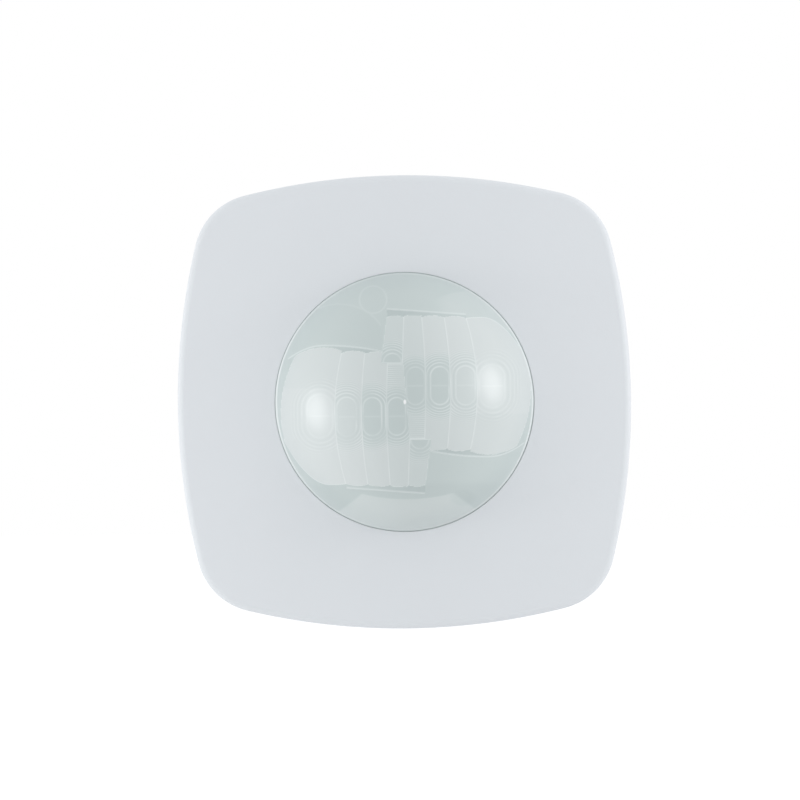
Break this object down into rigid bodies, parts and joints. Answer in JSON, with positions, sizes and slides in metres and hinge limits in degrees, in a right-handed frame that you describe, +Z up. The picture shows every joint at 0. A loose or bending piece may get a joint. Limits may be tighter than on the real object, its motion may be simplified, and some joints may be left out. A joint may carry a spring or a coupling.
{
  "type": "motion sensor",
  "caption": "Flush wall motion sensor: soft-square cover, domed segmented lens, plug-in sensor module and a load insert for a round box.",
  "frame": {"origin": "centre of the mounting bracket's back face, which lies on the wall, on the optical axis", "axes": "-Y out of the wall along the optical axis, +Z up the wall, +X to the viewer's right when facing the sensor"},
  "size_m": [0.095, 0.0652, 0.095],
  "materials": {
    "white_cover": "fine matt texture, pure white",
    "lens_milky": "milky translucent polyethylene, satin",
    "grey_shell": "matt light grey",
    "white_tray": "matt off-white",
    "insert_grey": "matt mid grey",
    "bracket_zinc": "zinc plated sheet",
    "screw_zinc": "zinc plated",
    "board_green": "solder resist, satin",
    "black_part": "moulded black, matt",
    "relay_blue": "gloss blue",
    "winding_yellow": "tape over ferrite",
    "capacitor_yellow": "gloss",
    "can_metal": "drawn can, satin",
    "pyro_filter": "dark infrared filter",
    "varistor_blue": "gloss coat",
    "fuse_glass": "glass tube",
    "brass_contact": "satin",
    "copper_tin": "tinned copper",
    "terminal_grey": "matt",
    "guide_clear": "clear acrylic",
    "led_red": "tinted diffused",
    "dial_white": "matt",
    "dip_red": "matt",
    "button_grey": "matt dark grey"
  },
  "bodies": {
    "load_module": {"mounting_bracket": "bracket_zinc", "insert_housing": "insert_grey", "insert_lid": "insert_grey", "insert_screws": "screw_zinc", "power_board": "board_green", "relay": "relay_blue", "transformer": "winding_yellow", "mains_capacitor": "capacitor_yellow", "bulk_capacitor": "can_metal", "varistor": "varistor_blue", "mains_fuse": "fuse_glass", "socket_connector": "black_part", "terminal_block": "terminal_grey", "terminal_tongues": "copper_tin"},
    "sensor_module": {"rear_shell": "grey_shell", "module_screws": "screw_zinc", "sensor_board": "board_green", "header_pins": "brass_contact", "pin_header": "black_part", "front_shell": "grey_shell", "lens_ring": "grey_shell", "lens_ring_screws": "screw_zinc", "lens_dome": "lens_milky", "pyro_holder": "white_tray", "pyro_can_left": "can_metal", "pyro_can_right": "can_metal", "pyro_window_left": "pyro_filter", "pyro_window_right": "pyro_filter", "pyro_leads": "copper_tin", "light_diode": "black_part", "light_guide": "guide_clear", "microcontroller": "black_part", "infrared_receiver": "black_part", "status_led": "led_red", "board_capacitors": "can_metal", "inner_mask": "white_tray", "trimmer_bases": "black_part", "dip_switch": "dip_red", "tact_switch": "black_part"},
    "cover": {"cover_frame": "white_cover"},
    "terminal_screw_1": {"clamp_screw_1": "screw_zinc"},
    "clamp_cage_1": {"clamp_cage_1": "screw_zinc"},
    "terminal_screw_2": {"clamp_screw_2": "screw_zinc"},
    "clamp_cage_2": {"clamp_cage_2": "screw_zinc"},
    "terminal_screw_3": {"clamp_screw_3": "screw_zinc"},
    "clamp_cage_3": {"clamp_cage_3": "screw_zinc"},
    "terminal_screw_4": {"clamp_screw_4": "screw_zinc"},
    "clamp_cage_4": {"clamp_cage_4": "screw_zinc"},
    "time_dial": {"time_dial": "dial_white"},
    "light_dial": {"light_dial": "dial_white"},
    "dip_slider_1": {"dip_slider_1": "dial_white"},
    "dip_slider_2": {"dip_slider_2": "dial_white"},
    "dip_slider_3": {"dip_slider_3": "dial_white"},
    "dip_slider_4": {"dip_slider_4": "dial_white"},
    "program_button": {"program_button": "button_grey"}
  },
  "joints": [
    {"name": "module_pull", "type": "slide", "parent": "load_module", "child": "sensor_module", "axis": [0, -1, 0], "range_m": [0, 0.03]},
    {"name": "cover_pull", "type": "slide", "parent": "sensor_module", "child": "cover", "axis": [0, -1, 0], "range_m": [0, 0.035]},
    {"name": "clamp_cage_1_lift", "type": "slide", "parent": "load_module", "child": "clamp_cage_1", "axis": [0, 0, -1], "range_m": [0, 0.00175]},
    {"name": "terminal_screw_1_turn", "type": "hinge", "parent": "load_module", "child": "terminal_screw_1", "pos_m": [-0.00953, 0.0254, -0.02], "axis": [0, 0, 1], "range_deg": [0, 1260]},
    {"name": "clamp_cage_2_lift", "type": "slide", "parent": "load_module", "child": "clamp_cage_2", "axis": [0, 0, -1], "range_m": [0, 0.00175]},
    {"name": "terminal_screw_2_turn", "type": "hinge", "parent": "load_module", "child": "terminal_screw_2", "pos_m": [-0.00317, 0.0254, -0.02], "axis": [0, 0, 1], "range_deg": [0, 1260]},
    {"name": "clamp_cage_3_lift", "type": "slide", "parent": "load_module", "child": "clamp_cage_3", "axis": [0, 0, -1], "range_m": [0, 0.00175]},
    {"name": "terminal_screw_3_turn", "type": "hinge", "parent": "load_module", "child": "terminal_screw_3", "pos_m": [0.00317, 0.0254, -0.02], "axis": [0, 0, 1], "range_deg": [0, 1260]},
    {"name": "clamp_cage_4_lift", "type": "slide", "parent": "load_module", "child": "clamp_cage_4", "axis": [0, 0, -1], "range_m": [0, 0.00175]},
    {"name": "terminal_screw_4_turn", "type": "hinge", "parent": "load_module", "child": "terminal_screw_4", "pos_m": [0.00953, 0.0254, -0.02], "axis": [0, 0, 1], "range_deg": [0, 1260]},
    {"name": "time_dial_turn", "type": "hinge", "parent": "sensor_module", "child": "time_dial", "pos_m": [-0.0166, -0.0085, -0.02875], "axis": [0, -1, 0], "range_deg": [-135, 135]},
    {"name": "light_dial_turn", "type": "hinge", "parent": "sensor_module", "child": "light_dial", "pos_m": [0.0166, -0.0085, -0.02875], "axis": [0, -1, 0], "range_deg": [-135, 135]},
    {"name": "dip_slider_1_slide", "type": "slide", "parent": "sensor_module", "child": "dip_slider_1", "axis": [1, 0, 0], "range_m": [0, 0.0014]},
    {"name": "dip_slider_2_slide", "type": "slide", "parent": "sensor_module", "child": "dip_slider_2", "axis": [1, 0, 0], "range_m": [0, 0.0014]},
    {"name": "dip_slider_3_slide", "type": "slide", "parent": "sensor_module", "child": "dip_slider_3", "axis": [1, 0, 0], "range_m": [0, 0.0014]},
    {"name": "dip_slider_4_slide", "type": "slide", "parent": "sensor_module", "child": "dip_slider_4", "axis": [1, 0, 0], "range_m": [0, 0.0014]},
    {"name": "program_button_press", "type": "slide", "parent": "sensor_module", "child": "program_button", "axis": [0, 1, 0], "range_m": [0, 0.00035], "stiffness_N_per_m": 500, "springref_m": -0.0005}
  ],
  "couplings": [
    {"joint": "terminal_screw_1_turn", "follows": "clamp_cage_1_lift", "rad_per_m": 12566},
    {"joint": "terminal_screw_2_turn", "follows": "clamp_cage_2_lift", "rad_per_m": 12566},
    {"joint": "terminal_screw_3_turn", "follows": "clamp_cage_3_lift", "rad_per_m": 12566},
    {"joint": "terminal_screw_4_turn", "follows": "clamp_cage_4_lift", "rad_per_m": 12566}
  ]
}
